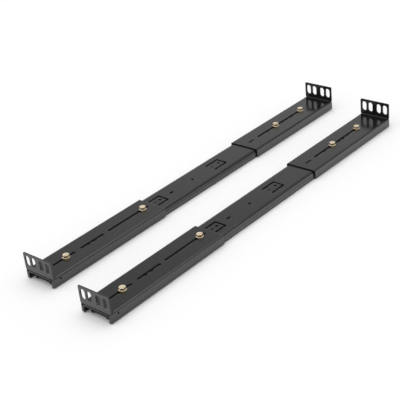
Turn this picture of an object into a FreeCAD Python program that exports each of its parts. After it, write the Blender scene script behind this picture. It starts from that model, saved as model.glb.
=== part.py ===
# Pair of sliding server rails: full-extension ball slides held in adjustable rack brackets.
# X runs along the rails with the rack's front at -X, Y runs across, Z is up and the floor is Z = 0.
import FreeCAD, Part
import math
import os

V = FreeCAD.Vector
SAME_POINT = 1e-6
os.makedirs("parts", exist_ok=True)

# The pair as it lies: length between the rack faces, distance between the rails, and their offset
RAIL_LENGTH = 532.0
RAIL_SPACING = 100.0
RAIL_STAGGER = 13.0

# Chords of a quarter turn in the slide sections and slot ends, and sides of small round holes and shanks
BEND_CHORDS = 3
HIDDEN_BEND_CHORDS = 2
SLOT_CHORDS = 3
SMALL_ROUND_SIDES = 12

# Sheet thicknesses
BRACKET_SHEET = 1.4
OUTER_SHEET = 1.4
MIDDLE_SHEET = 1.1
INNER_SHEET = 1.2
RETAINER_SHEET = 0.4

# Slide depth, overall width of the outer member and heights of the open edges above the floor
SLIDE_DEPTH = 10.6
OUTER_WIDTH = 40.0
OUTER_EDGE_HEIGHT = 0.4
MIDDLE_EDGE_HEIGHT = 0.8
BRACKET_EDGE_HEIGHT = 1.0
OUTER_BEND_RADIUS = 1.6
RACE_BEND_RADIUS = 0.6
RETAINER_BEND_RADIUS = 0.3

# Balls and their two rows
BALL_DIAMETER = 2.5
BALL_CLEARANCE = 0.12
OUTER_ROW_HEIGHT = 4.6
INNER_ROW_HEIGHT = 2.2
RACE_DEPTH = 0.45
RACE_FLAT = 2.0
RACE_SLOPE = 0.8
BALLS_PER_ROW = 4

# Inner member: raised web between two ribs that meet the chassis
INNER_WIDTH = 26.0
INNER_WEB_HEIGHT = 2.0
INNER_LEG_TOP = 4.2
INNER_WEB_WIDTH = 16.4
INNER_BEND_RADIUS = 0.4
RIB_SLOPE_WIDTH = 1.5

# Ball retainers: place and length along the rail
RETAINER_START = 130.0
RETAINER_LENGTH = 150.0
RETAINER_MARGIN = 9.0
RETAINER_LIP = 0.5
RUNNING_GAP = 0.25
POCKET_CLEARANCE = 0.07
RETAINER_SHIFT = 0.1

# End gaps of the sliding members inside the outer member
INNER_RECESS = 4.5
MIDDLE_RECESS = 24.0
BUMPER_LENGTH = 6.0
BUMPER_WIDTH = 26.0
BUMPER_RECESS = 2.0
BUMPER_GAP = 0.5
BUMPER_DRAFT = 1.0
BUMPER_CORNER_RADIUS = 1.5

# Rack brackets: channel round the outer member and an upright flange with four rack slots
FRONT_BRACKET_LENGTH = 180.0
REAR_BRACKET_LENGTH = 173.0
BRACKET_SIDE_CLEARANCE = 0.2
BRACKET_BEND_RADIUS = 0.8
FLANGE_WIDTH = 43.6
FLANGE_TOP = 33.2
FLANGE_TOP_RADIUS = 1.5
FLANGE_FOOT_RADIUS = 3.0
FLANGE_BEND_RADIUS = 1.0
FLANGE_FOLD_RADIUS = 1.8
RELIEF_WIDTH = 1.2
RELIEF_LENGTH = 4.5
RACK_SLOT_WIDTH = 6.5
RACK_SLOT_LENGTH = 13.0
RACK_SLOT_TOP_MARGIN = 3.0
RACK_HOLE_SPAN = 31.75
RACK_HOLE_MIDDLE_SPAN = 12.7
LOCATING_HOLE_DIAMETER = 2.4
LOCATING_HOLE_X = 11.0
LOCATING_HOLE_DROP = 3.6

# Clamp screws with washers and nuts, measured from the rack face of each bracket
SCREW_DIAMETER = 4.0
SCREW_HOLE_DIAMETER = 4.3
SCREW_HEAD_ACROSS_FLATS = 7.0
SCREW_HEAD_HEIGHT = 1.4
SCREW_PROUD = 0.6
WASHER_DIAMETER = 9.0
WASHER_HEIGHT = 0.8
WASHER_HOLE_DIAMETER = 4.3
NUT_ACROSS_FLATS = 7.0
NUT_HEIGHT = 3.2
NUT_CHAMFER = 0.4
NUT_TURN = 10.0
NUT_THREAD_CLEARANCE = 0.05
FRONT_SCREW_X = 40.0
FRONT_SCREW_END_MARGIN = 15.5
REAR_SCREWS = (46.0, 103.0)

# Adjusting slots of the brackets: starts from the rack face and margins from the bracket's other end
ADJUST_SLOT_WIDTH = 4.6
FRONT_SLOT_A = (20.0, 54.0)
FRONT_SLOT_B = (62.0, 99.5)
FRONT_SLOT_C_START = 106.0
FRONT_SLOT_C_END_MARGIN = 6.0
REAR_SLOT_START = 39.0
REAR_SLOT_END_MARGIN = 30.0
KEY_SLOT_LENGTH = 11.5
KEY_SLOT_END_MARGIN = 10.5
KEY_SLOT_WIDTH = 2.6

# Spare holes of the outer member: near the front from the front face, near the rear from the rear face
SPARE_HOLE_DIAMETER = 4.3
FRONT_SPARE_HOLES = (76.0, 85.0)
REAR_SPARE_HOLES = (66.0, 77.5, 86.0, 120.0)

# Stop tongues lanced in the outer member's web, with the hole and slot in each, and two access holes;
# the front tongue and the oval hole are placed from the front bracket's end
FRONT_TONGUE_GAP = 2.5
FRONT_TONGUE_LENGTH = 19.5
REAR_TONGUE_X = 289.5
REAR_TONGUE_LENGTH = 24.0
TONGUE_WIDTH = 18.0
TONGUE_KERF = 2.8
TONGUE_HOLE_DIAMETER = 4.2
TONGUE_HOLE_SETBACK = 7.5
TONGUE_SLOT_LENGTH = 4.0
TONGUE_SLOT_WIDTH = 2.0
TONGUE_SLOT_START = 2.0
OVAL_HOLE_GAP = 35.7
OVAL_HOLE_LENGTH = 6.5
OVAL_HOLE_WIDTH = 3.4
ROUND_HOLE_X = 254.8
ROUND_HOLE_DIAMETER = 4.0

# Chassis holes of the inner member and driver access holes of the middle member
CHASSIS_HOLE_DIAMETER = 4.5
FRONT_CHASSIS_HOLE_X = 25.0
REAR_CHASSIS_HOLE_INSET = 25.0
CHASSIS_HOLE_PITCH = 100.0
ACCESS_HOLE_DIAMETER = 8.0
FRONT_ACCESS_HOLE_X = 75.0
REAR_ACCESS_HOLE_X = 340.0

# Release lever riveted in the inner member
LEVER_PIVOT_X = 215.0
LEVER_THICKNESS = 0.8
LEVER_GAP = 0.05
LEVER_ARM_LENGTH = 46.0
LEVER_ARM_WIDTH = 5.0
LEVER_PAD_LENGTH = 16.0
LEVER_PAD_WIDTH = 9.0
LEVER_PAD_RADIUS = 3.0
LEVER_NECK_LENGTH = 4.0
LEVER_NECK_RADIUS = 2.0
LEVER_PAWL_LENGTH = 30.0
LEVER_PAWL_WIDTH = 4.0
LEVER_HUB_RADIUS = 4.6
LEVER_HOOK_DEPTH = 2.2
LEVER_HOOK_LENGTH = 6.0
LEVER_SPRING_WIDTH = 0.8
LEVER_SPRING_LENGTH = 24.0
LEVER_SPRING_SPLAY = 2.3
LEVER_SPRING_INSET = 1.2
RIVET_DIAMETER = 3.0
RIVET_CLEARANCE = 0.05
RIVET_HEAD_DIAMETER = 5.2
RIVET_HEAD_HEIGHT = 0.3
RIVET_FOOT_HEIGHT = 0.9

# Heights that follow from the stack of sheets
outer_web_low = SLIDE_DEPTH - OUTER_SHEET
bracket_top = SLIDE_DEPTH + BRACKET_SHEET
screw_head_low = outer_web_low - SCREW_HEAD_HEIGHT
outer_retainer_top = screw_head_low - RUNNING_GAP
middle_top = outer_retainer_top - RETAINER_SHEET - RUNNING_GAP
middle_web_low = middle_top - MIDDLE_SHEET
inner_retainer_top = middle_web_low - RUNNING_GAP
inner_web_top = INNER_WEB_HEIGHT + INNER_SHEET

# Rear end of the sliding members, in front of the bumper
member_end = RAIL_LENGTH - BUMPER_RECESS - BUMPER_LENGTH - BUMPER_GAP

# Widths that follow from the ball rows, from the outer race inwards
ball_radius = BALL_DIAMETER / 2
ball_seat = ball_radius + BALL_CLEARANCE
outer_leg_y = OUTER_WIDTH / 2 - OUTER_SHEET / 2
outer_ball_y = outer_leg_y - OUTER_SHEET / 2 - ball_seat
middle_upper_y = outer_ball_y - ball_seat - MIDDLE_SHEET / 2
inner_leg_y = INNER_WIDTH / 2 - INNER_SHEET / 2
inner_ball_y = inner_leg_y + INNER_SHEET / 2 + ball_seat
middle_lower_y = inner_ball_y + ball_seat + MIDDLE_SHEET / 2


def unit(vector):
    """Return a 2-D direction of length one."""
    length = math.hypot(*vector)
    return (vector[0] / length, vector[1] / length)


def offset_path(points, distance):
    """Return an open 2-D path moved to its left by a distance, with mitred corners."""
    directions = [
        unit((b[0] - a[0], b[1] - a[1])) for a, b in zip(points, points[1:])
    ]
    normals = [(-d[1], d[0]) for d in directions]
    moved = []
    for i, point in enumerate(points):
        before = normals[max(i - 1, 0)]
        after = normals[min(i, len(normals) - 1)]
        share = distance / (1 + before[0] * after[0] + before[1] * after[1])
        shift = (share * (before[0] + after[0]), share * (before[1] + after[1]))
        moved.append((point[0] + shift[0], point[1] + shift[1]))
    return moved


def corner_chords(centre, start, end, per_quarter):
    """Return points on an arc from start to end, both kept, in chords of about equal turn."""
    radius = math.hypot(start[0] - centre[0], start[1] - centre[1])
    first = math.atan2(start[1] - centre[1], start[0] - centre[0])
    last = math.atan2(end[1] - centre[1], end[0] - centre[0])
    turn = (last - first + math.pi) % (2 * math.pi) - math.pi
    chords = max(1, round(abs(turn) / (math.pi / 2) * per_quarter))
    angles = [first + turn * i / chords for i in range(1, chords)]
    between = [(centre[0] + radius * math.cos(a), centre[1] + radius * math.sin(a)) for a in angles]
    return [start] + between + [end]


def rounded_outline(points, radii, place, per_quarter=0):
    """Return a closed face through 2-D points, each corner rounded by its own arc or by chords."""
    corners = []
    count = len(points)
    for i, point in enumerate(points):
        back = unit((points[i - 1][0] - point[0], points[i - 1][1] - point[1]))
        ahead_point = points[(i + 1) % count]
        ahead = unit((ahead_point[0] - point[0], ahead_point[1] - point[1]))
        cosine = max(-1.0, min(1.0, back[0] * ahead[0] + back[1] * ahead[1]))
        half_angle = math.acos(cosine) / 2
        if radii[i] < SAME_POINT or half_angle > math.pi / 2 - SAME_POINT:
            corners.append((point,))
            continue
        reach = radii[i] / math.tan(half_angle)
        middle = unit((back[0] + ahead[0], back[1] + ahead[1]))
        depth = radii[i] / math.sin(half_angle) - radii[i]
        start = (point[0] + back[0] * reach, point[1] + back[1] * reach)
        crown = (point[0] + middle[0] * depth, point[1] + middle[1] * depth)
        end = (point[0] + ahead[0] * reach, point[1] + ahead[1] * reach)
        if per_quarter:
            depth += radii[i]
            centre = (point[0] + middle[0] * depth, point[1] + middle[1] * depth)
            corners.append(corner_chords(centre, start, end, per_quarter))
        else:
            corners.append((start, crown, end))
    edges = []
    for i, corner in enumerate(corners):
        if len(corner) == 3 and not per_quarter:
            edges.append(Part.Arc(*[place(p) for p in corner]).toShape())
            corner = corner[2:]
        line = [place(p) for p in corner] + [place(corners[(i + 1) % count][0])]
        for start, end in zip(line, line[1:]):
            if start.distanceToPoint(end) > SAME_POINT:
                edges.append(Part.makeLine(start, end))
    return Part.Face(Part.Wire(edges))


def across(point):
    """Place a section point (y, z) in the plane across the rail."""
    return V(0, point[0], point[1])


def flat(point):
    """Place a plan point (x, y) in the floor plane."""
    return V(point[0], point[1], 0)


def along(point):
    """Place a side-view point (x, z) in the rail's middle plane."""
    return V(point[0], 0, point[1])


def sheet_section(half_path, thickness, web_bend, leg_bend, per_quarter=0):
    """Return the section of a roll-formed sheet, symmetric about the rail's middle plane."""
    path = [(-y, z) for y, z in reversed(half_path)] + list(half_path)
    upper = offset_path(path, thickness / 2)
    lower = offset_path(path, -thickness / 2)
    upper_radii = [0.0] * len(path)
    lower_radii = [0.0] * len(path)
    for i in range(1, len(path) - 1):
        before = (path[i][0] - path[i - 1][0], path[i][1] - path[i - 1][1])
        after = (path[i + 1][0] - path[i][0], path[i + 1][1] - path[i][1])
        turn = before[0] * after[1] - before[1] * after[0]
        bend_radius = web_bend if i in (len(half_path) - 1, len(half_path)) else leg_bend
        upper_radii[i] = bend_radius if turn > 0 else bend_radius + thickness
        lower_radii[i] = bend_radius + thickness if turn > 0 else bend_radius
    outline = upper + lower[::-1]
    return rounded_outline(outline, upper_radii + lower_radii[::-1], across, per_quarter)


def box(x_range, y_range, z_range):
    """Return a box between two corners."""
    low = V(x_range[0], y_range[0], z_range[0])
    size = [r[1] - r[0] for r in (x_range, y_range, z_range)]
    return Part.makeBox(size[0], size[1], size[2], low)


def cylinder(x, diameter, z_range):
    """Return an upright cylinder on the rail's middle plane."""
    return Part.makeCylinder(diameter / 2, z_range[1] - z_range[0], V(x, 0, z_range[0]))


def polygon(x, sides, corner_radius, z, turn=0.0):
    """Return a level polygon on the rail's middle plane, turned by an angle in degrees."""
    angles = [math.radians(360 * i / sides + turn) for i in range(sides + 1)]
    points = [V(x + corner_radius * math.cos(a), corner_radius * math.sin(a), z) for a in angles]
    return Part.makePolygon(points)


def small_round(x, diameter, z_range):
    """Return an upright many-sided prism as wide as a round shank or small hole."""
    step = 2 * math.pi / SMALL_ROUND_SIDES
    corner_radius = diameter / 2 * math.sqrt(step / math.sin(step))
    outline = Part.Face(polygon(x, SMALL_ROUND_SIDES, corner_radius, z_range[0]))
    return outline.extrude(V(0, 0, z_range[1] - z_range[0]))


def hexagon(x, across_flats, z_range):
    """Return an upright hexagon prism."""
    outline = Part.Face(polygon(x, 6, across_flats / math.sqrt(3), z_range[0], NUT_TURN))
    return outline.extrude(V(0, 0, z_range[1] - z_range[0]))


def slot_cutter(x_range, width, z_range):
    """Return the cutter of a round-ended slot along the rail."""
    half = width / 2
    corners = [(x_range[0], -half), (x_range[1], -half), (x_range[1], half), (x_range[0], half)]
    outline = rounded_outline(corners, [half] * 4, flat, SLOT_CHORDS)
    outline.translate(V(0, 0, z_range[0]))
    return outline.extrude(V(0, 0, z_range[1] - z_range[0]))


def outer_member():
    """Cabinet member: channel with a race pressed in each leg, lanced tongues and holes."""
    web_z = SLIDE_DEPTH - OUTER_SHEET / 2
    pinch_y = outer_leg_y - RACE_DEPTH
    race_top = OUTER_ROW_HEIGHT + RACE_FLAT / 2
    race_low = OUTER_ROW_HEIGHT - RACE_FLAT / 2
    half = [
        (pinch_y, web_z),
        (pinch_y, race_top + RACE_SLOPE),
        (outer_leg_y, race_top),
        (outer_leg_y, race_low),
        (pinch_y, race_low - RACE_SLOPE),
        (pinch_y, OUTER_EDGE_HEIGHT),
    ]
    section = sheet_section(half, OUTER_SHEET, OUTER_BEND_RADIUS, RACE_BEND_RADIUS, BEND_CHORDS)
    member = section.extrude(V(RAIL_LENGTH, 0, 0))
    through = (outer_web_low - 1, SLIDE_DEPTH + 1)
    cuts = [small_round(x, SCREW_HOLE_DIAMETER, through) for x in screw_places()]
    spares = list(FRONT_SPARE_HOLES) + [RAIL_LENGTH - x for x in REAR_SPARE_HOLES]
    cuts += [small_round(x, SPARE_HOLE_DIAMETER, through) for x in spares]
    cuts.append(small_round(ROUND_HOLE_X, ROUND_HOLE_DIAMETER, through))
    oval_x = FRONT_BRACKET_LENGTH + OVAL_HOLE_GAP
    oval = (oval_x - OVAL_HOLE_LENGTH / 2, oval_x + OVAL_HOLE_LENGTH / 2)
    cuts.append(slot_cutter(oval, OVAL_HOLE_WIDTH, through))
    cuts += tongue_cuts(FRONT_BRACKET_LENGTH + FRONT_TONGUE_GAP, FRONT_TONGUE_LENGTH, through)
    cuts += tongue_cuts(REAR_TONGUE_X, REAR_TONGUE_LENGTH, through)
    return member.cut(cuts)


def tongue_cuts(root_x, length, through):
    """Cuts of one lanced tongue: a U-shaped kerf, the hole near its free end and a slot at its root."""
    half = TONGUE_WIDTH / 2
    tip = root_x + length
    frame = box((root_x, tip), (-half, half), through)
    tongue = box((root_x - 1, tip - TONGUE_KERF), (-half + TONGUE_KERF, half - TONGUE_KERF), through)
    slot_x = root_x + TONGUE_SLOT_START
    half_slot = TONGUE_SLOT_WIDTH / 2
    slot = box((slot_x, slot_x + TONGUE_SLOT_LENGTH), (-half_slot, half_slot), through)
    hole = small_round(tip - TONGUE_HOLE_SETBACK, TONGUE_HOLE_DIAMETER, through)
    return [frame.cut(tongue), slot, hole]


def screw_places():
    """Clamp screw positions along the rail."""
    front = [FRONT_SCREW_X, FRONT_BRACKET_LENGTH - FRONT_SCREW_END_MARGIN]
    return front + [RAIL_LENGTH - x for x in reversed(REAR_SCREWS)]


def middle_member():
    """Intermediate member: each leg steps outwards so that both ball rows run on it."""
    web_z = middle_top - MIDDLE_SHEET / 2
    step = middle_lower_y - middle_upper_y
    step_middle = (OUTER_ROW_HEIGHT + INNER_ROW_HEIGHT) / 2
    half = [
        (middle_upper_y, web_z),
        (middle_upper_y, step_middle + step / 2),
        (middle_lower_y, step_middle - step / 2),
        (middle_lower_y, MIDDLE_EDGE_HEIGHT),
    ]
    section = sheet_section(half, MIDDLE_SHEET, RACE_BEND_RADIUS, RACE_BEND_RADIUS, HIDDEN_BEND_CHORDS)
    member = section.extrude(V(member_end - MIDDLE_RECESS, 0, 0))
    member.translate(V(MIDDLE_RECESS, 0, 0))
    through = (middle_web_low - 0.5, middle_top + 0.5)
    places = (FRONT_ACCESS_HOLE_X, REAR_ACCESS_HOLE_X)
    return member.cut([small_round(x, ACCESS_HOLE_DIAMETER, through) for x in places])


def chassis_holes():
    """Chassis hole positions along the inner member."""
    last = member_end - REAR_CHASSIS_HOLE_INSET
    first = FRONT_CHASSIS_HOLE_X
    return [first, first + CHASSIS_HOLE_PITCH, last - CHASSIS_HOLE_PITCH, last]


def inner_member():
    """Chassis member: raised web, a rib on each side and an upright leg that the inner balls run on."""
    web_z = INNER_WEB_HEIGHT + INNER_SHEET / 2
    rib_z = INNER_SHEET / 2
    half = [
        (INNER_WEB_WIDTH / 2, web_z),
        (INNER_WEB_WIDTH / 2 + RIB_SLOPE_WIDTH, rib_z),
        (inner_leg_y, rib_z),
        (inner_leg_y, INNER_LEG_TOP),
    ]
    section = sheet_section(half, INNER_SHEET, INNER_BEND_RADIUS, INNER_BEND_RADIUS, HIDDEN_BEND_CHORDS)
    member = section.extrude(V(member_end - INNER_RECESS, 0, 0))
    member.translate(V(INNER_RECESS, 0, 0))
    through = (INNER_WEB_HEIGHT - 0.5, inner_web_top + 0.5)
    cuts = [cylinder(x, CHASSIS_HOLE_DIAMETER, through) for x in chassis_holes()]
    cuts.append(small_round(LEVER_PIVOT_X, RIVET_DIAMETER + 2 * RIVET_CLEARANCE, through))
    return member.cut(cuts)


def retainer(leg_y, top, row_height):
    """Ball retainer: thin channel with a square pocket for each ball."""
    low = row_height - ball_radius - POCKET_CLEARANCE - RETAINER_LIP
    half = [(leg_y, top - RETAINER_SHEET / 2), (leg_y, low)]
    strip = sheet_section(half, RETAINER_SHEET, RETAINER_BEND_RADIUS, RETAINER_BEND_RADIUS, 1)
    strip = strip.extrude(V(RETAINER_LENGTH, 0, 0))
    strip.translate(V(RETAINER_START, 0, 0))
    reach = leg_y + RETAINER_SHEET
    half_pocket = ball_radius + POCKET_CLEARANCE
    height = (row_height - half_pocket, row_height + half_pocket)
    pockets = [
        box((x - half_pocket, x + half_pocket), (-reach, reach), height) for x in ball_places()
    ]
    return strip.cut(pockets)


def ball_places():
    """Ball positions along a retainer."""
    span = RETAINER_LENGTH - 2 * RETAINER_MARGIN
    step = span / (BALLS_PER_ROW - 1)
    return [RETAINER_START + RETAINER_MARGIN + i * step for i in range(BALLS_PER_ROW)]


def balls(row_y, row_height):
    """Both rows of balls of one retainer, as faceted balls that fit inside the true sphere."""
    side = BALL_DIAMETER / math.sqrt(1 + 2 * (math.sqrt(2) - 1) ** 2)
    bevel = side * (1 - (math.sqrt(2) - 1)) / 2
    blank = Part.makeBox(side, side, side, V(-side / 2, -side / 2, -side / 2))
    ball = blank.makeChamfer(bevel, blank.Edges)
    row = []
    for x in ball_places():
        for sign in (-1, 1):
            copy = ball.copy()
            copy.translate(V(x, sign * row_y, row_height))
            row.append(copy)
    return Part.makeCompound(row)


def bracket(length, slots, key_slots):
    """Rack bracket with its rack face at x = 0: channel, upright flange, slots and bend reliefs."""
    wall_y = OUTER_WIDTH / 2 + BRACKET_SIDE_CLEARANCE + BRACKET_SHEET / 2
    web_z = SLIDE_DEPTH + BRACKET_SHEET / 2
    half = [(wall_y, web_z), (wall_y, BRACKET_EDGE_HEIGHT)]
    channel = sheet_section(half, BRACKET_SHEET, BRACKET_BEND_RADIUS, BRACKET_BEND_RADIUS)
    channel = channel.extrude(V(length, 0, 0))
    half_flange = FLANGE_WIDTH / 2
    corners = [
        (-half_flange, SLIDE_DEPTH),
        (half_flange, SLIDE_DEPTH),
        (half_flange, FLANGE_TOP),
        (-half_flange, FLANGE_TOP),
    ]
    radii = [FLANGE_FOOT_RADIUS] * 2 + [FLANGE_TOP_RADIUS] * 2
    flange = rounded_outline(corners, radii, across).extrude(V(BRACKET_SHEET, 0, 0))
    body = channel.fuse([flange, inside_bend(wall_y - BRACKET_SHEET / 2)])
    through = (SLIDE_DEPTH - 1, bracket_top + 1)
    cuts = [slot_cutter(s, ADJUST_SLOT_WIDTH, through) for s in slots]
    cuts += [slot_cutter(s, KEY_SLOT_WIDTH, through) for s in key_slots]
    cuts += [rack_slot(y) for y in rack_slot_places()]
    cuts.append(outside_fold(wall_y - BRACKET_SHEET / 2))
    cuts += reliefs(wall_y - BRACKET_SHEET / 2)
    cuts.append(locating_hole(wall_y))
    return body.cut(cuts).removeSplitter()


def inside_bend(half_width):
    """Hollow fillet where the flange rises from the web."""
    x = BRACKET_SHEET
    r = FLANGE_BEND_RADIUS
    corner = along((x - 0.1, bracket_top - 0.1))
    foot = along((x + r, bracket_top - 0.1))
    foot_top = along((x + r, bracket_top))
    dip = along((x + r * (1 - math.sqrt(0.5)), bracket_top + r * (1 - math.sqrt(0.5))))
    wall_end = along((x, bracket_top + r))
    wall = along((x - 0.1, bracket_top + r))
    edges = [
        Part.makeLine(corner, foot),
        Part.makeLine(foot, foot_top),
        Part.Arc(foot_top, dip, wall_end).toShape(),
        Part.makeLine(wall_end, wall),
        Part.makeLine(wall, corner),
    ]
    profile = Part.Face(Part.Wire(edges))
    profile.translate(V(0, -half_width, 0))
    return profile.extrude(V(0, 2 * half_width, 0))


def outside_fold(half_width):
    """Cutter that rounds the outer edge of the bend between web and flange."""
    r = FLANGE_FOLD_RADIUS
    block = box((-1, r), (-half_width, half_width), (SLIDE_DEPTH - 1, SLIDE_DEPTH + r))
    axis_start = V(r, -half_width - 1, SLIDE_DEPTH + r)
    core = Part.makeCylinder(r, 2 * half_width + 2, axis_start, V(0, 1, 0))
    return block.cut(core)


def reliefs(half_width):
    """Notches that free the flange's bend from the side walls."""
    notches = []
    for sign in (-1, 1):
        inner = sign * (half_width - RELIEF_WIDTH)
        outer = sign * half_width
        y_range = (min(inner, outer), max(inner, outer))
        x_range = (BRACKET_SHEET, BRACKET_SHEET + RELIEF_LENGTH)
        notches.append(box(x_range, y_range, (SLIDE_DEPTH - 1, bracket_top + 1)))
    return notches


def locating_hole(wall_y):
    """Small round hole in one side wall, near the flange."""
    hole = small_round(0, LOCATING_HOLE_DIAMETER, (-BRACKET_SHEET, BRACKET_SHEET))
    hole.rotate(V(0, 0, 0), V(1, 0, 0), 90)
    hole.translate(V(LOCATING_HOLE_X, -wall_y, bracket_top - LOCATING_HOLE_DROP))
    return hole


def rack_slot_places():
    """Centres of the four rack slots across the flange."""
    outer = RACK_HOLE_SPAN / 2
    inner = RACK_HOLE_MIDDLE_SPAN / 2
    return [-outer, -inner, inner, outer]


def rack_slot(y):
    """Cutter of one upright rack slot."""
    half = RACK_SLOT_WIDTH / 2
    top = FLANGE_TOP - RACK_SLOT_TOP_MARGIN
    low = top - RACK_SLOT_LENGTH
    corners = [(y - half, low), (y + half, low), (y + half, top), (y - half, top)]
    outline = rounded_outline(corners, [half] * 4, across, SLOT_CHORDS)
    outline.translate(V(-1, 0, 0))
    return outline.extrude(V(BRACKET_SHEET + 2, 0, 0))


def front_bracket():
    """Bracket of the rack's front posts."""
    last_slot = (FRONT_SLOT_C_START, FRONT_BRACKET_LENGTH - FRONT_SLOT_C_END_MARGIN)
    return bracket(FRONT_BRACKET_LENGTH, [FRONT_SLOT_A, FRONT_SLOT_B, last_slot], [])


def rear_bracket():
    """Bracket of the rack's rear posts, turned to face the other way."""
    slot = (REAR_SLOT_START, REAR_BRACKET_LENGTH - REAR_SLOT_END_MARGIN)
    key_slot_end = REAR_BRACKET_LENGTH - KEY_SLOT_END_MARGIN
    key_slot = (key_slot_end - KEY_SLOT_LENGTH, key_slot_end)
    shape = bracket(REAR_BRACKET_LENGTH, [slot], [key_slot])
    shape.rotate(V(0, 0, 0), V(0, 0, 1), 180)
    shape.translate(V(RAIL_LENGTH, 0, 0))
    return shape


def clamp_screw(x):
    """Screw with a low hexagon head inside the outer member, up through the bracket's slot."""
    head = hexagon(x, SCREW_HEAD_ACROSS_FLATS, (screw_head_low, outer_web_low))
    tip = bracket_top + WASHER_HEIGHT + NUT_HEIGHT + SCREW_PROUD
    return head.fuse(small_round(x, SCREW_DIAMETER, (outer_web_low, tip)))


def flat_washer(x):
    """Washer on top of the bracket."""
    z_range = (bracket_top, bracket_top + WASHER_HEIGHT)
    disc = cylinder(x, WASHER_DIAMETER, z_range)
    return disc.cut(small_round(x, WASHER_HOLE_DIAMETER, z_range))


def hex_nut(x):
    """Hexagon nut with its top corners chamfered."""
    low = bracket_top + WASHER_HEIGHT
    top = low + NUT_HEIGHT
    sides = 12
    facing_corner = NUT_TURN + 180 / sides
    reach = NUT_ACROSS_FLATS / math.sqrt(3) / math.cos(math.pi / sides)
    crown = Part.makeLoft(
        [
            polygon(x, sides, reach, low, facing_corner),
            polygon(x, sides, reach, top - NUT_CHAMFER, facing_corner),
            polygon(x, sides, reach - 2 * NUT_CHAMFER, top, facing_corner),
        ],
        True,
        True,
    )
    bore = small_round(x, SCREW_DIAMETER + 2 * NUT_THREAD_CLEARANCE, (low, top))
    return hexagon(x, NUT_ACROSS_FLATS, (low, top)).common(crown).cut(bore)


def at_each_screw(maker):
    """Repeat one fastener piece at every clamp screw."""
    return Part.makeCompound([maker(x) for x in screw_places()])


def rear_bumper():
    """Rubber buffer under the outer member's web that the sliding members close against."""
    half = BUMPER_WIDTH / 2
    corners = [
        (-half, MIDDLE_EDGE_HEIGHT),
        (half, MIDDLE_EDGE_HEIGHT),
        (half - BUMPER_DRAFT, outer_web_low),
        (-half + BUMPER_DRAFT, outer_web_low),
    ]
    radii = [BUMPER_CORNER_RADIUS] * 2 + [0.0] * 2
    shape = rounded_outline(corners, radii, across, BEND_CHORDS)
    shape.translate(V(RAIL_LENGTH - BUMPER_RECESS - BUMPER_LENGTH, 0, 0))
    return shape.extrude(V(BUMPER_LENGTH, 0, 0))


def release_lever():
    """Moulded lever: finger pad, hub, hooked pawl and a thin spring arm beside the pawl."""
    x = LEVER_PIVOT_X
    arm = LEVER_ARM_WIDTH / 2
    pad = LEVER_PAD_WIDTH / 2
    pawl = LEVER_PAWL_WIDTH / 2
    pad_start = x - LEVER_ARM_LENGTH
    pad_end = pad_start + LEVER_PAD_LENGTH
    neck_end = pad_end + LEVER_NECK_LENGTH
    tip = x + LEVER_PAWL_LENGTH
    corners = [
        (pad_start, -pad, LEVER_PAD_RADIUS),
        (pad_end, -pad, LEVER_NECK_RADIUS),
        (neck_end, -arm, LEVER_NECK_RADIUS),
        (x, -arm, 0.0),
        (tip, -pawl, 0.0),
        (tip, pawl + LEVER_HOOK_DEPTH, 0.0),
        (tip - LEVER_HOOK_LENGTH, pawl, 0.0),
        (x, arm, 0.0),
        (neck_end, arm, LEVER_NECK_RADIUS),
        (pad_end, pad, LEVER_NECK_RADIUS),
        (pad_start, pad, LEVER_PAD_RADIUS),
    ]
    points = [corner[:2] for corner in corners]
    plate = rounded_outline(points, [corner[2] for corner in corners], flat, BEND_CHORDS)
    spring_y = LEVER_SPRING_INSET - LEVER_HUB_RADIUS
    spring_path = [(x, spring_y), (x + LEVER_SPRING_LENGTH, spring_y - LEVER_SPRING_SPLAY)]
    left = offset_path(spring_path, LEVER_SPRING_WIDTH / 2)
    right = offset_path(spring_path, -LEVER_SPRING_WIDTH / 2)
    spring = rounded_outline(left + right[::-1], [0.0] * 4, flat)
    z = inner_web_top + LEVER_GAP
    blanks = [face.extrude(V(0, 0, LEVER_THICKNESS)) for face in (plate, spring)]
    for blank in blanks:
        blank.translate(V(0, 0, z))
    z_range = (z, z + LEVER_THICKNESS)
    hub = small_round(x, 2 * LEVER_HUB_RADIUS, z_range)
    bore = cylinder(x, RIVET_DIAMETER + 2 * RIVET_CLEARANCE, z_range)
    return hub.fuse(blanks).cut(bore).removeSplitter()


def lever_rivet():
    """Rivet that the release lever turns on."""
    lever_top = inner_web_top + LEVER_GAP + LEVER_THICKNESS + LEVER_GAP
    foot_low = INNER_WEB_HEIGHT - RIVET_FOOT_HEIGHT
    foot = small_round(LEVER_PIVOT_X, RIVET_HEAD_DIAMETER, (foot_low, INNER_WEB_HEIGHT))
    shank = cylinder(LEVER_PIVOT_X, RIVET_DIAMETER, (INNER_WEB_HEIGHT, lever_top))
    head_range = (lever_top, lever_top + RIVET_HEAD_HEIGHT)
    head = small_round(LEVER_PIVOT_X, RIVET_HEAD_DIAMETER, head_range)
    return shank.fuse([foot, head])


PIECES = {
    "outer_member": outer_member,
    "front_bracket": front_bracket,
    "rear_bracket": rear_bracket,
    "clamp_screws": lambda: at_each_screw(clamp_screw),
    "flat_washers": lambda: at_each_screw(flat_washer),
    "hex_nuts": lambda: at_each_screw(hex_nut),
    "middle_member": middle_member,
    "inner_member": inner_member,
    "outer_ball_retainer": lambda: retainer(
        outer_ball_y + RETAINER_SHIFT, outer_retainer_top, OUTER_ROW_HEIGHT
    ),
    "inner_ball_retainer": lambda: retainer(
        inner_ball_y - RETAINER_SHIFT, inner_retainer_top, INNER_ROW_HEIGHT
    ),
    "outer_balls": lambda: balls(outer_ball_y, OUTER_ROW_HEIGHT),
    "inner_balls": lambda: balls(inner_ball_y, INNER_ROW_HEIGHT),
    "rear_bumper": rear_bumper,
    "release_lever": release_lever,
    "lever_rivet": lever_rivet,
}

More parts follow.
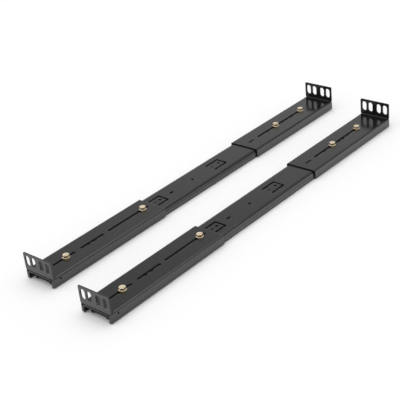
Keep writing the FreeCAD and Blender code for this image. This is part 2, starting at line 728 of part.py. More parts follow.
# The left rail lies further towards the rear than the right one, as the pair is laid out
half_span = (RAIL_LENGTH + RAIL_STAGGER) / 2
PLACES = {
    "left": V(-half_span + RAIL_STAGGER, RAIL_SPACING / 2, 0),
    "right": V(-half_span, -RAIL_SPACING / 2, 0),
}

for piece_name, make_piece in PIECES.items():
    piece = make_piece()
    for side, place in PLACES.items():
        copy = piece.copy()
        copy.translate(place)
        copy.exportStep("parts/" + side + "_" + piece_name + ".step")
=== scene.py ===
"""Sliding server rail pair: finishes, small details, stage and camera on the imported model."""

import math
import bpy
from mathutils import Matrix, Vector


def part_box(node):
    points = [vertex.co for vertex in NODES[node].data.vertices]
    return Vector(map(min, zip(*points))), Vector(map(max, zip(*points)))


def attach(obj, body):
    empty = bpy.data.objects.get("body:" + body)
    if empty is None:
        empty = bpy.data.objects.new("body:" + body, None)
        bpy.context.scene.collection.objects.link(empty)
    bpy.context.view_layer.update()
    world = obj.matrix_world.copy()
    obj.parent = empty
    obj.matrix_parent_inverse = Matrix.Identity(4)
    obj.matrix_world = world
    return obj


bl_info = {
    "name": "Sliding server rail pair",
    "version": (1, 0, 0),
    "blender": (4, 5, 0),
    "location": "3D View > Sidebar > Server rails",
    "description": "Finishes and small details of a pair of ball-bearing server rails",
    "category": "Object",
}

import bpy
from bpy.props import FloatProperty, FloatVectorProperty, IntProperty, PointerProperty
from mathutils import Euler, Vector

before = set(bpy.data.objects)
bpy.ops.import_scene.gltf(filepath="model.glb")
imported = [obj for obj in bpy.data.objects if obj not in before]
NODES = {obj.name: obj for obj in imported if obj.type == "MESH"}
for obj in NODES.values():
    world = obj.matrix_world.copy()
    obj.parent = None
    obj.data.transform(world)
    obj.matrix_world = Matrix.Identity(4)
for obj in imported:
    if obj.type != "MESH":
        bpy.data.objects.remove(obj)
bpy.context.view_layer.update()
SIDES = ("left", "right")

# Finishes: specular levels, roughnesses, and in metres the rounding of edges and grain heights
BLACK_COAT_SPECULAR = 0.85
# Specular level of the painted shade, a weak reflection that darkens the flanges' inner faces
PAINTED_SHADE_SPECULAR = 0.2
PHOSPHATE_SPECULAR = 0.3
SOFT_BEND = 0.0004
SOFT_STRIP_EDGE = 0.0001
SOFT_NUT_EDGE = 0.00025
SOFT_BALL = 0.0003
SOFT_MOULDED_EDGE = 0.0002
FINE_GRAIN_HEIGHT = 0.00002
DRAWN_FLAT_ROUGHNESS = 0.12
NESTED_POLISH = 0.06
NUT_ROUGHNESS = 0.34
WASHER_ROUGHNESS = 0.32
SCREW_ROUGHNESS = 0.38
THREAD_ROUGHNESS = 0.3
RETAINER_ROUGHNESS = 0.42
RIVET_ROUGHNESS = 0.25
BALL_COLOUR = (0.7, 0.71, 0.72)
BALL_ROUGHNESS = 0.08
LEVER_ROUGHNESS = 0.5
LEVER_GRAIN = 0.0003
BUMPER_ROUGHNESS = 0.7
BUMPER_GRAIN = 0.0004

# Solids of one node that lie further apart along the rail than this, in metres, are separate
SOLID_GAP = 0.01

# Stage: heights and brightness of the room, from the horizon (0) to overhead (1)
ROOM_LEVELS = (
    (0.0, 1.0),
    (0.2, 1.0),
    (0.36, 0.6),
    (0.46, 0.49),
    (0.56, 0.37),
    (0.66, 0.28),
    (1.0, 0.28),
)
KEY_WAY = (-0.05, 0.05, 1.0)
FLOOR_REACH = 12.0
FLOOR_HEIGHT = -0.0001
FLOOR_ROUGHNESS = 0.9
CAMERA_PLACE = (-0.81397, -0.72328, 0.58601)
CAMERA_TURN = (61.4263, 5.6702, -49.7197)
CAMERA_CLIP = (0.05, 60.0)
SENSOR_WIDTH = 36.0


# Shader maths


class Value:
    """A shader socket that takes part in Python expressions."""

    def __init__(self, shading, socket):
        self.shading = shading
        self.socket = socket

    def maths(self, operation, *others):
        settings = {"operation": operation}
        return self.shading.node("ShaderNodeMath", settings, dict(enumerate((self, *others))))

    def __add__(self, other):
        return self.maths("ADD", other)

    __radd__ = __add__

    def __sub__(self, other):
        return self.maths("SUBTRACT", other)

    def __rsub__(self, other):
        return (self * -1.0) + other

    def __mul__(self, other):
        return self.maths("MULTIPLY", other)

    __rmul__ = __mul__

    def clamp(self):
        """The value held between 0 and 1."""
        return self.maths("MINIMUM", 1.0).maths("MAXIMUM", 0.0)

    def over(self, low, high):
        """The value's way from low to high, held between 0 and 1."""
        return ((self - low) * (1.0 / (high - low))).clamp()


class Shading:
    """The node tree of a material or world, built from expressions."""

    def __init__(self, owner, output):
        owner.use_nodes = True
        self.owner = owner
        self.tree = owner.node_tree
        self.tree.nodes.clear()
        self.output = self.tree.nodes.new(output)

    def node(self, kind, settings=None, inputs=None, output=0):
        """Add a node, set its settings and then its inputs, and return one of its outputs."""
        made = self.tree.nodes.new(kind)
        for key, setting in (settings or {}).items():
            if key == "stops":
                for element, (place, colour) in zip(self.stops(made, len(setting)), setting):
                    element.position = place
                    element.color = (*colour, 1.0)
            else:
                setattr(made, key, setting)
        for key, value in (inputs or {}).items():
            self.feed(made.inputs[key], value)
        return Value(self, made.outputs[output])

    def stops(self, ramp, count):
        """Give a colour ramp its number of stops."""
        elements = ramp.color_ramp.elements
        while len(elements) < count:
            elements.new(1.0)
        return elements

    def feed(self, socket, value):
        """Link a value to a socket, or set it."""
        if isinstance(value, Value):
            self.tree.links.new(value.socket, socket)
        else:
            socket.default_value = value

    def finish(self, shader):
        """Send a shader to the tree's output."""
        self.tree.links.new(shader.socket, self.output.inputs["Surface"])
        return self.owner


class Finish(Shading):
    """A procedural material."""

    def __init__(self, name):
        super().__init__(bpy.data.materials.new(name), "ShaderNodeOutputMaterial")

    def place(self, scale=(1.0, 1.0, 1.0)):
        """Object coordinates in metres, stretched by a scale."""
        spot = self.node("ShaderNodeTexCoord", output="Object")
        return self.node("ShaderNodeMapping", {}, {"Vector": spot, "Scale": scale})

    def noise(self, size, detail=2.0, stretch=(1.0, 1.0, 1.0)):
        """Noise between 0 and 1 whose features are about size metres wide."""
        inputs = {
            "Vector": self.place(stretch),
            "Scale": 1.0 / size,
            "Detail": detail,
            "Roughness": 0.55,
        }
        return self.node("ShaderNodeTexNoise", {"noise_dimensions": "3D"}, inputs)

    def blend(self, factor, first, second):
        """Mix two colours."""
        settings = {"data_type": "RGBA"}
        inputs = {0: factor, 6: self.colour(first), 7: self.colour(second)}
        return self.node("ShaderNodeMix", settings, inputs, 2)

    def colour(self, value):
        """A colour with its alpha, or a linked one as it is."""
        if isinstance(value, Value):
            return value
        return (*value, 1.0)

    def edge(self, radius):
        """How near a sharp edge is, from 0 on open faces to 1 on the edge."""
        worn = self.node("ShaderNodeBevel", {"samples": 6}, {"Radius": radius})
        flat = self.node("ShaderNodeNewGeometry", output="Normal")
        settings = {"operation": "DOT_PRODUCT"}
        turn = self.node("ShaderNodeVectorMath", settings, {0: worn, 1: flat}, 1)
        return (1.0 - turn).over(0.02, 0.3)

    def soft_edges(self, radius):
        """Normals rounded over at the edges."""
        return self.node("ShaderNodeBevel", {"samples": 6}, {"Radius": radius})

    def facing(self, axis):
        """How far a face looks along X, Y or Z, from -1 to 1."""
        normal = self.node("ShaderNodeTexCoord", output="Normal")
        return self.node("ShaderNodeSeparateXYZ", {}, {0: normal}, axis)

    def bump(self, height, distance, normal):
        """Normals tilted by a height that is full at a distance in metres."""
        inputs = {"Height": height, "Distance": distance, "Normal": normal}
        return self.node("ShaderNodeBump", {}, inputs)

    def shader(self, **inputs):
        """The surface shader, from named sockets."""
        named = {key.replace("_", " "): value for key, value in inputs.items()}
        return self.node("ShaderNodeBsdfPrincipled", {}, named)

    def surface(self, **inputs):
        """The finished material, from named sockets of the surface shader."""
        return self.finish(self.shader(**inputs))


def powder_coat(name, colour, roughness, grain, inner_way):
    """Satin black powder coat with fine orange peel, and painted shade: a weak reflection on the
    flange's inner face that darkens it.
    """
    finish = Finish(name)
    peel = finish.noise(size=grain, detail=3.0)
    broad = finish.noise(size=0.03, detail=2.0)
    rubbed = finish.edge(radius=0.0006) * finish.noise(size=0.004, detail=4.0).over(0.35, 0.7)
    dust = finish.noise(size=0.0016, detail=5.0).over(0.45, 0.8)
    dusty = [c * 1.25 + 0.002 for c in colour]
    shade = finish.blend(broad * 0.5 + dust * 0.25, colour, dusty)
    worn = [c * 2.2 + 0.01 for c in colour]
    gloss = roughness + (broad - 0.5) * 0.1 + dust * 0.05 - rubbed * 0.08
    skin = {
        "Base_Color": finish.blend(rubbed * 0.3, shade, worn),
        "Roughness": gloss.clamp(),
        "Normal": finish.bump(peel, FINE_GRAIN_HEIGHT, finish.soft_edges(SOFT_BEND)),
    }
    full = finish.shader(Specular_IOR_Level=BLACK_COAT_SPECULAR, **skin)
    # Painted shade: the same coat with a weak reflection, so the flange's inner face renders dark
    painted_shade_coat = finish.shader(Specular_IOR_Level=PAINTED_SHADE_SPECULAR, **skin)
    # Where the painted shade goes: faces that look inward from the flange
    painted_shade_mask = (finish.facing("X") * inner_way).over(0.5, 0.8)
    return finish.finish(finish.node("ShaderNodeMixShader", {}, {0: painted_shade_mask, 1: full, 2: painted_shade_coat}))


def rolled_black(name, colour, roughness):
    """Black dip coat over roll-formed steel: faint drawing lines and rubbed edges."""
    finish = Finish(name)
    lines = finish.noise(size=0.0009, detail=3.0, stretch=(0.012, 1.0, 1.0))
    grain = finish.noise(size=0.0005, detail=2.0)
    broad = finish.noise(size=0.05, detail=2.0)
    rubbed = finish.edge(radius=0.0005) * finish.noise(size=0.006, detail=4.0).over(0.4, 0.7)
    pale = [c * 1.3 + 0.003 for c in colour]
    shade = finish.blend(lines * 0.4 + broad * 0.4, colour, pale)
    worn = [c * 2.5 + 0.012 for c in colour]
    relief = grain * 0.6 + lines * 0.4
    return finish.surface(
        Base_Color=finish.blend(rubbed * 0.3, shade, worn),
        Roughness=(roughness + (lines - 0.5) * 0.12 + (broad - 0.5) * 0.1).clamp(),
        Specular_IOR_Level=BLACK_COAT_SPECULAR,
        Normal=finish.bump(relief, FINE_GRAIN_HEIGHT, finish.soft_edges(SOFT_BEND)),
    )


def yellow_zinc(name, colour, roughness):
    """Yellow chromate over zinc: gold that drifts to rose and straw, duller on turned ends."""
    finish = Finish(name)
    faced = finish.facing("Z").over(0.5, 0.9)
    drift = finish.noise(size=0.0035, detail=2.0)
    tints = (
        (0.25, (1.0, 0.86, 0.8)),
        (0.45, (1.0, 1.0, 1.0)),
        (0.62, (1.0, 1.04, 1.3)),
        (0.8, (0.92, 0.98, 0.8)),
    )
    stops = [(place, [c * f for c, f in zip(colour, tint)]) for place, tint in tints]
    rainbow = finish.node("ShaderNodeValToRGB", {"stops": stops}, {0: drift})
    marks = finish.noise(size=0.0004, detail=3.0, stretch=(1.0, 1.0, 0.2))
    dirt = finish.noise(size=0.0018, detail=4.0).over(0.55, 0.85)
    return finish.surface(
        Base_Color=finish.blend(dirt * 0.35, rainbow, [c * 0.45 for c in colour]),
        Metallic=(1.0 - dirt * 0.3).clamp(),
        Roughness=(DRAWN_FLAT_ROUGHNESS + faced * roughness + marks * 0.12 + dirt * 0.2).clamp(),
        Normal=finish.bump(marks, 0.00004, finish.soft_edges(SOFT_NUT_EDGE)),
    )


def phosphated(name, colour, roughness):
    """Oiled phosphate on strip steel: dark grey crystals with a faint drawn grain."""
    finish = Finish(name)
    crystals = finish.noise(size=0.0003, detail=5.0)
    grain = finish.noise(size=0.0008, detail=3.0, stretch=(0.05, 1.0, 1.0))
    oil = finish.noise(size=0.008, detail=2.0).over(0.4, 0.7)
    light = [c * 1.7 + 0.004 for c in colour]
    return finish.surface(
        Base_Color=finish.blend(crystals * 0.5 + grain * 0.2, colour, light),
        Roughness=(roughness + crystals * 0.15 - oil * 0.1).clamp(),
        Specular_IOR_Level=PHOSPHATE_SPECULAR,
        Normal=finish.bump(crystals, FINE_GRAIN_HEIGHT, finish.soft_edges(SOFT_STRIP_EDGE)),
    )


def bright_zinc(name, colour, roughness):
    """Zinc-plated steel: cool grey with drawn streaks and dull spots."""
    finish = Finish(name)
    streaks = finish.noise(size=0.0006, detail=3.0, stretch=(0.05, 1.0, 1.0))
    spots = finish.noise(size=0.003, detail=4.0).over(0.5, 0.8)
    return finish.surface(
        Base_Color=finish.blend(spots * 0.5, colour, [c * 0.6 for c in colour]),
        Metallic=(1.0 - spots * 0.2).clamp(),
        Roughness=(roughness + streaks * 0.15 + spots * 0.15).clamp(),
        Normal=finish.bump(streaks, 0.00003, finish.soft_edges(SOFT_STRIP_EDGE)),
    )


def polished_steel(name, colour, roughness):
    """Bearing steel under a thin film of grease."""
    finish = Finish(name)
    film = finish.noise(size=0.001, detail=3.0).over(0.4, 0.7)
    return finish.surface(
        Base_Color=finish.blend(film * 0.4, colour, [c * 0.7 for c in colour]),
        Metallic=1.0,
        Roughness=(roughness + film * 0.15).clamp(),
        Normal=finish.bump(film, 0.00001, finish.soft_edges(SOFT_BALL)),
    )


def moulded(name, colour, roughness, grain):
    """Moulded plastic or rubber: fine spark texture and a little dust on the edges."""
    finish = Finish(name)
    spark = finish.noise(size=grain, detail=4.0)
    dust = finish.edge(radius=0.0004) * finish.noise(size=0.002, detail=3.0)
    dusty = [c * 1.8 + 0.02 for c in colour]
    return finish.surface(
        Base_Color=finish.blend(dust * 0.4 + spark * 0.15, colour, dusty),
        Roughness=(roughness + (spark - 0.5) * 0.15).clamp(),
        Normal=finish.bump(spark, 0.00004, finish.soft_edges(SOFT_MOULDED_EDGE)),
    )


def coat(material, *names):
    """Give a finish to CAD nodes of both rails."""
    for side in SIDES:
        for name in names:
            piece = NODES[side + "_" + name]
            piece.data.materials.clear()
            piece.data.materials.append(material)


# Geometry Nodes


class Tree:
    """A Geometry Nodes tree with named inputs, closed by Realize Instances and Set Material."""

    def __init__(self, name, inputs):
        self.group = bpy.data.node_groups.new(name, "GeometryNodeTree")
        face = self.group.interface
        face.new_socket("Geometry", in_out="INPUT", socket_type="NodeSocketGeometry")
        self.identifiers = {}
        for label, kind in inputs.items():
            socket = face.new_socket(label, in_out="INPUT", socket_type=kind)
            self.identifiers[label] = socket.identifier
        face.new_socket("Geometry", in_out="OUTPUT", socket_type="NodeSocketGeometry")
        self.entry = self.group.nodes.new("NodeGroupInput")
        self.exit = self.group.nodes.new("NodeGroupOutput")

    def given(self, label):
        """One of the tree's own inputs."""
        return self.entry.outputs[label]

    def add(self, kind, settings=None, **inputs):
        """Add a node with its settings and inputs; underscores in input names stand for spaces."""
        made = self.group.nodes.new(kind)
        for key, setting in (settings or {}).items():
            setattr(made, key, setting)
        for key, value in inputs.items():
            socket = made.inputs[key.replace("_", " ")]
            if isinstance(value, bpy.types.NodeSocket):
                self.group.links.new(value, socket)
            else:
                socket.default_value = value
        return made.outputs[0]

    def close(self, geometry):
        """End the tree."""
        real = self.add("GeometryNodeRealizeInstances", Geometry=geometry)
        material = self.given("Material")
        painted = self.add("GeometryNodeSetMaterial", Geometry=real, Material=material)
        self.group.links.new(painted, self.exit.inputs[0])

    def grow(self, name, points, values):
        """Run the tree on a mesh of points and return the result as a plain object."""
        seed = bpy.data.meshes.new(name + "_points")
        seed.from_pydata([tuple(p) for p in points], [], [])
        base = bpy.data.objects.new(name + "_base", seed)
        bpy.context.scene.collection.objects.link(base)
        modifier = base.modifiers.new("Build", "NODES")
        modifier.node_group = self.group
        for label, value in values.items():
            modifier[self.identifiers[label]] = value
        depsgraph = bpy.context.evaluated_depsgraph_get()
        mesh = bpy.data.meshes.new_from_object(base.evaluated_get(depsgraph))
        if not mesh.polygons:
            raise RuntimeError(name + " came out empty")
        bpy.data.objects.remove(base)
        mesh.name = name
        piece = bpy.data.objects.new(name, mesh)
        bpy.context.scene.collection.objects.link(piece)
        return piece


def thread_tree():
    """A helical ridge round each screw point, rising from the nut to the screw's end."""
    tree = Tree(
        "screw_thread",
        {
            "Radius": "NodeSocketFloat",
            "Height": "NodeSocketFloat",
            "Turns": "NodeSocketFloat",
            "Ridge": "NodeSocketFloat",
            "Material": "NodeSocketMaterial",
        },
    )
    helix = tree.add(
        "GeometryNodeCurveSpiral",
        Resolution=20,
        Rotations=tree.given("Turns"),
        Start_Radius=tree.given("Radius"),
        End_Radius=tree.given("Radius"),
        Height=tree.given("Height"),
    )
    ridge = tree.add("GeometryNodeCurvePrimitiveCircle", Resolution=4, Radius=tree.given("Ridge"))
    thread = tree.add(
        "GeometryNodeCurveToMesh", Curve=helix, Profile_Curve=ridge, Fill_Caps=True
    )
    copies = tree.add(
        "GeometryNodeInstanceOnPoints", Points=tree.given("Geometry"), Instance=thread
    )
    tree.close(copies)
    return tree


def grip_tree():
    """Rounded ribs in a row across the finger pad of a lever."""
    tree = Tree(
        "grip_ribs",
        {
            "Ribs": "NodeSocketInt",
            "Spacing": "NodeSocketFloat",
            "Length": "NodeSocketFloat",
            "Rib Radius": "NodeSocketFloat",
            "Material": "NodeSocketMaterial",
        },
    )
    pitch = tree.add("ShaderNodeCombineXYZ", X=tree.given("Spacing"))
    row = tree.add(
        "GeometryNodeMeshLine", {"mode": "OFFSET"}, Count=tree.given("Ribs"), Offset=pitch
    )
    rib = tree.add(
        "GeometryNodeMeshCylinder",
        Vertices=12,
        Radius=tree.given("Rib Radius"),
        Depth=tree.given("Length"),
    )
    laid = tree.add("GeometryNodeTransform", Geometry=rib, Rotation=(math.pi / 2, 0.0, 0.0))
    ribs = tree.add("GeometryNodeInstanceOnPoints", Points=row, Instance=laid)
    real = tree.add("GeometryNodeRealizeInstances", Geometry=ribs)
    copies = tree.add(
        "GeometryNodeInstanceOnPoints", Points=tree.given("Geometry"), Instance=real
    )
    tree.close(copies)
    return tree


def solid_centres(node):
    """Centres along the rail of the separate solids of a node, at the node's top height."""
    low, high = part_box(node)
    xs = sorted(v.co.x for v in NODES[node].data.vertices)
    groups = [[xs[0]]]
    for x in xs[1:]:
        if x - groups[-1][-1] > SOLID_GAP:
            groups.append([])
        groups[-1].append(x)
    y = (low[1] + high[1]) / 2
    return [Vector(((g[0] + g[-1]) / 2, y, high[2])) for g in groups]


# Settings


class RAILS_PG_finishes(bpy.types.PropertyGroup):
    """Colours and gloss of the rails' finishes."""

    coat_colour: FloatVectorProperty(
        name="Powder coat",
        description="Colour of the rack brackets",
        subtype="COLOR",
        default=(0.008, 0.008, 0.0081),
        min=0.0,
        max=1.0,
    )
    coat_roughness: FloatProperty(
        name="Powder coat roughness",
        description="Roughness of the rack brackets",
        subtype="FACTOR",
        default=0.14,
        min=0.0,
        max=1.0,
    )
    coat_grain: FloatProperty(
        name="Orange peel",
        description="Width of the powder coat's grains",
        unit="LENGTH",
        default=0.0006,
        min=0.0001,
    )
    slide_colour: FloatVectorProperty(
        name="Slide coat",
        description="Colour of the sliding members",
        subtype="COLOR",
        default=(0.007, 0.007, 0.0072),
        min=0.0,
        max=1.0,
    )
    slide_roughness: FloatProperty(
        name="Slide coat roughness",
        description="Roughness of the sliding members",
        subtype="FACTOR",
        default=0.16,
        min=0.0,
        max=1.0,
    )
    zinc_colour: FloatVectorProperty(
        name="Yellow zinc",
        description="Colour of the nuts, washers and clamp screws",
        subtype="COLOR",
        default=(0.82, 0.71, 0.5),
        min=0.0,
        max=1.0,
    )
    strip_colour: FloatVectorProperty(
        name="Phosphate",
        description="Colour of the ball retainers",
        subtype="COLOR",
        default=(0.014, 0.014, 0.015),
        min=0.0,
        max=1.0,
    )
    rivet_colour: FloatVectorProperty(
        name="Bright zinc",
        description="Colour of the lever rivets",
        subtype="COLOR",
        default=(0.6, 0.61, 0.63),
        min=0.0,
        max=1.0,
    )
    rubber_colour: FloatVectorProperty(
        name="Rubber",
        description="Colour of the rear bumpers",
        subtype="COLOR",
        default=(0.018, 0.018, 0.018),
        min=0.0,
        max=1.0,
    )
    lever_colour: FloatVectorProperty(
        name="Lever plastic",
        description="Colour of the release levers",
        subtype="COLOR",
        default=(0.03, 0.03, 0.032),
        min=0.0,
        max=1.0,
    )


class RAILS_PG_details(bpy.types.PropertyGroup):
    """Sizes of the small details."""

    thread_turns: FloatProperty(
        name="Thread turns",
        description="Turns of thread that show above each nut",
        default=0.6,
        min=0.5,
    )
    thread_ridge: FloatProperty(
        name="Thread ridge",
        description="Half width of the thread's ridge",
        unit="LENGTH",
        default=0.00018,
        min=0.00005,
    )
    thread_radius: FloatProperty(
        name="Thread radius",
        description="Radius of the screw that the thread runs round",
        unit="LENGTH",
        default=0.00195,
        min=0.0005,
    )
    rib_count: IntProperty(
        name="Grip ribs",
        description="Ribs on the finger pad of each release lever",
        default=5,
        min=1,
    )
    rib_spacing: FloatProperty(
        name="Rib spacing",
        description="Distance between the grip ribs",
        unit="LENGTH",
        default=0.0022,
        min=0.0005,
    )
    rib_inset: FloatProperty(
        name="Rib inset",
        description="Distance from the lever's front to the first grip rib",
        unit="LENGTH",
        default=0.0035,
        min=0.0,
    )
    rib_length: FloatProperty(
        name="Rib length",
        description="Length of each grip rib across the lever",
        unit="LENGTH",
        default=0.0062,
        min=0.001,
    )
    rib_radius: FloatProperty(
        name="Rib radius",
        description="Radius of each grip rib",
        unit="LENGTH",
        default=0.0003,
        min=0.0001,
    )


class RAILS_PG_stage(bpy.types.PropertyGroup):
    """Floor, light and camera."""

    floor_colour: FloatVectorProperty(
        name="Floor",
        description="Colour of the floor and the background",
        subtype="COLOR",
        default=(0.97, 0.97, 0.97),
        min=0.0,
        max=1.0,
    )
    key: FloatProperty(
        name="Overhead lamp",
        description="Strength of the wide lamp overhead, in watts per square metre",
        default=2.05,
        min=0.0,
    )
    key_spread: FloatProperty(
        name="Lamp spread",
        description="Angle that the overhead lamp spans",
        unit="ROTATION",
        default=math.radians(90.0),
        min=math.radians(1.0),
    )
    lens: FloatProperty(
        name="Lens",
        description="Focal length of the camera, in millimetres",
        unit="CAMERA",
        default=91.170,
        min=10.0,
    )


# Operators


class RAILS_OT_brackets(bpy.types.Operator):
    """Coat the four rack brackets"""

    bl_idname = "rails.brackets"
    bl_label = "Rack brackets"

    def execute(self, context):
        look = context.scene.rails_finishes
        # inner_way is the way each flange's inner face looks; that face gets the painted shade
        for bracket, inner_way in (("front_bracket", 1.0), ("rear_bracket", -1.0)):
            material = powder_coat(
                bracket + "_powder_coat",
                look.coat_colour,
                look.coat_roughness,
                look.coat_grain,
                inner_way,
            )
            coat(material, bracket)
        return {"FINISHED"}


class RAILS_OT_slides(bpy.types.Operator):
    """Coat the outer, middle and inner members"""

    bl_idname = "rails.slides"
    bl_label = "Slide members"

    def execute(self, context):
        look = context.scene.rails_finishes
        outer = rolled_black("outer_member_coat", look.slide_colour, look.slide_roughness)
        coat(outer, "outer_member")
        polished = look.slide_roughness - NESTED_POLISH
        nested = rolled_black("inner_members_coat", look.slide_colour, polished)
        coat(nested, "middle_member", "inner_member")
        return {"FINISHED"}


class RAILS_OT_fasteners(bpy.types.Operator):
    """Plate the clamp screws, washers and nuts"""

    bl_idname = "rails.fasteners"
    bl_label = "Clamp screws, washers and nuts"

    def execute(self, context):
        look = context.scene.rails_finishes
        for name, roughness, node in (
            ("nut_yellow_zinc", NUT_ROUGHNESS, "hex_nuts"),
            ("washer_yellow_zinc", WASHER_ROUGHNESS, "flat_washers"),
            ("screw_yellow_zinc", SCREW_ROUGHNESS, "clamp_screws"),
        ):
            coat(yellow_zinc(name, look.zinc_colour, roughness), node)
        return {"FINISHED"}


class RAILS_OT_threads(bpy.types.Operator):
    """Wind the thread that shows above each nut"""

    bl_idname = "rails.threads"
    bl_label = "Screw threads"

    def execute(self, context):
        sizes = context.scene.rails_details
        look = context.scene.rails_finishes
        material = yellow_zinc("thread_yellow_zinc", look.zinc_colour, THREAD_ROUGHNESS)
        tree = thread_tree()
        for side in SIDES:
            screws = solid_centres(side + "_clamp_screws")
            nut_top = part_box(side + "_hex_nuts")[1][2]
            height = screws[0].z - nut_top - 2 * sizes.thread_ridge
            starts = [Vector((s.x, s.y, nut_top + sizes.thread_ridge)) for s in screws]
            values = {
                "Radius": sizes.thread_radius,
                "Height": height,
                "Turns": sizes.thread_turns,
                "Ridge": sizes.thread_ridge,
                "Material": material,
            }
            thread = tree.grow(side + "_screw_threads", starts, values)
            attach(thread, "outer_members")
        return {"FINISHED"}


class RAILS_OT_ball_cages(bpy.types.Operator):
    """Finish the ball retainers and their balls"""

    bl_idname = "rails.ball_cages"
    bl_label = "Ball cages"

    def execute(self, context):
        look = context.scene.rails_finishes
        strip = phosphated("retainer_phosphate", look.strip_colour, RETAINER_ROUGHNESS)
        coat(strip, "outer_ball_retainer", "inner_ball_retainer")
        steel = polished_steel("ball_steel", BALL_COLOUR, BALL_ROUGHNESS)
        coat(steel, "outer_balls", "inner_balls")
        return {"FINISHED"}


class RAILS_OT_levers(bpy.types.Operator):
    """Finish the release levers and add their grip ribs"""

    bl_idname = "rails.levers"
    bl_label = "Release levers"

    def execute(self, context):
        look = context.scene.rails_finishes
        sizes = context.scene.rails_details
        plastic = moulded("lever_plastic", look.lever_colour, LEVER_ROUGHNESS, LEVER_GRAIN)
        coat(plastic, "release_lever")
        coat(bright_zinc("rivet_zinc", look.rivet_colour, RIVET_ROUGHNESS), "lever_rivet")
        tree = grip_tree()
        for side in SIDES:
            low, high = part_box(side + "_release_lever")
            rivet_low, rivet_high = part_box(side + "_lever_rivet")
            across = (rivet_low[1] + rivet_high[1]) / 2
            first = Vector((low[0] + sizes.rib_inset, across, high[2]))
            values = {
                "Ribs": sizes.rib_count,
                "Spacing": sizes.rib_spacing,
                "Length": sizes.rib_length,
                "Rib Radius": sizes.rib_radius,
                "Material": plastic,
            }
            ribs = tree.grow(side + "_lever_grip", [first], values)
            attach(ribs, side + "_release_lever")
        return {"FINISHED"}


class RAILS_OT_bumpers(bpy.types.Operator):
    """Finish the rubber bumpers at the rear"""

    bl_idname = "rails.bumpers"
    bl_label = "Rear bumpers"

    def execute(self, context):
        look = context.scene.rails_finishes
        rubber = moulded("bumper_rubber", look.rubber_colour, BUMPER_ROUGHNESS, BUMPER_GRAIN)
        coat(rubber, "rear_bumper")
        return {"FINISHED"}


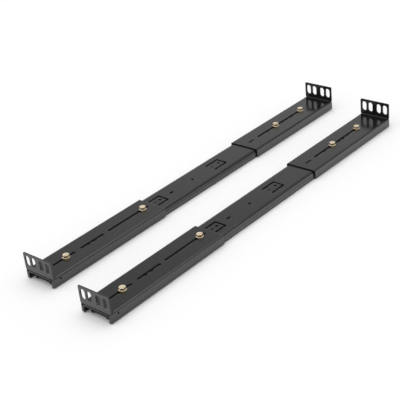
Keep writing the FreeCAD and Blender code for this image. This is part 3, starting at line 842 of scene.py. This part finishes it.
class RAILS_OT_stage(bpy.types.Operator):
    """Build the floor, the light and the camera"""

    bl_idname = "rails.stage"
    bl_label = "Stage"

    def execute(self, context):
        stage = context.scene.rails_stage
        self.lay_floor(stage)
        self.light_room(stage)
        self.set_camera(stage)
        context.scene.view_settings.view_transform = "Standard"
        return {"FINISHED"}

    def lay_floor(self, stage):
        """A wide plain floor just under the rails."""
        finish = Finish("stage_floor")
        grain = finish.noise(size=0.4, detail=1.0)
        shade = [c * 0.995 for c in stage.floor_colour]
        colour = finish.blend(grain, stage.floor_colour, shade)
        finish.surface(Base_Color=colour, Roughness=FLOOR_ROUGHNESS)
        ways = ((-1, -1), (1, -1), (1, 1), (-1, 1))
        corners = [(x * FLOOR_REACH, y * FLOOR_REACH, FLOOR_HEIGHT) for x, y in ways]
        mesh = bpy.data.meshes.new("floor")
        mesh.from_pydata(corners, [], [(0, 1, 2, 3)])
        floor = bpy.data.objects.new("floor", mesh)
        mesh.materials.append(finish.owner)
        bpy.context.scene.collection.objects.link(floor)

    def light_room(self, stage):
        """A white room that is dimmer towards the ceiling, and a wide soft lamp overhead."""
        world = bpy.data.worlds.new("studio")
        room = Shading(world, "ShaderNodeOutputWorld")
        way = room.node("ShaderNodeTexCoord", output="Generated")
        height = room.node("ShaderNodeSeparateXYZ", {}, {0: way}, "Z")
        stops = [(z, (brightness,) * 3) for z, brightness in ROOM_LEVELS]
        level = room.node("ShaderNodeValToRGB", {"stops": stops}, {0: height})
        room.finish(room.node("ShaderNodeBackground", {}, {"Color": level}))
        bpy.context.scene.world = world
        self.hang_lamp(stage)

    def hang_lamp(self, stage):
        """A soft far lamp that lights the whole floor alike from overhead."""
        lamp = bpy.data.lights.new("key_lamp", "SUN")
        lamp.energy = stage.key
        lamp.angle = stage.key_spread
        hung = bpy.data.objects.new("key_lamp", lamp)
        hung.rotation_euler = (-Vector(KEY_WAY)).to_track_quat("-Z", "Y").to_euler()
        bpy.context.scene.collection.objects.link(hung)

    def set_camera(self, stage):
        """The camera, at the photograph's viewing angle."""
        lens = bpy.data.cameras.new("camera")
        lens.sensor_width = SENSOR_WIDTH
        lens.lens = stage.lens
        lens.clip_start, lens.clip_end = CAMERA_CLIP
        camera = bpy.data.objects.new("camera", lens)
        camera.location = CAMERA_PLACE
        camera.rotation_euler = Euler([math.radians(a) for a in CAMERA_TURN])
        bpy.context.scene.collection.objects.link(camera)
        bpy.context.scene.camera = camera


PIECES = (
    RAILS_OT_brackets,
    RAILS_OT_slides,
    RAILS_OT_fasteners,
    RAILS_OT_threads,
    RAILS_OT_ball_cages,
    RAILS_OT_levers,
    RAILS_OT_bumpers,
    RAILS_OT_stage,
)


class RAILS_PT_panel(bpy.types.Panel):
    """Settings and pieces of the server rails."""

    bl_idname = "RAILS_PT_panel"
    bl_label = "Server rails"
    bl_space_type = "VIEW_3D"
    bl_region_type = "UI"
    bl_category = "Server rails"

    def draw(self, context):
        for group in ("rails_finishes", "rails_details", "rails_stage"):
            box = self.layout.box()
            settings = getattr(context.scene, group)
            for name in settings.__annotations__:
                box.prop(settings, name)
        for piece in PIECES:
            self.layout.operator(piece.bl_idname)


GROUPS = {
    "rails_finishes": RAILS_PG_finishes,
    "rails_details": RAILS_PG_details,
    "rails_stage": RAILS_PG_stage,
}


def register():
    """Add the settings, the operators and the panel."""
    for group in GROUPS.values():
        bpy.utils.register_class(group)
    for name, group in GROUPS.items():
        setattr(bpy.types.Scene, name, PointerProperty(type=group))
    for piece in PIECES:
        bpy.utils.register_class(piece)
    bpy.utils.register_class(RAILS_PT_panel)


def unregister():
    """Take them out again."""
    bpy.utils.unregister_class(RAILS_PT_panel)
    for piece in reversed(PIECES):
        bpy.utils.unregister_class(piece)
    for name in GROUPS:
        delattr(bpy.types.Scene, name)
    for group in reversed(GROUPS.values()):
        bpy.utils.unregister_class(group)


def main():
    """Make every piece."""
    register()
    bpy.ops.rails.brackets()
    bpy.ops.rails.slides()
    bpy.ops.rails.fasteners()
    bpy.ops.rails.threads()
    bpy.ops.rails.ball_cages()
    bpy.ops.rails.levers()
    bpy.ops.rails.bumpers()
    bpy.ops.rails.stage()


if __name__ == "__main__":
    main()
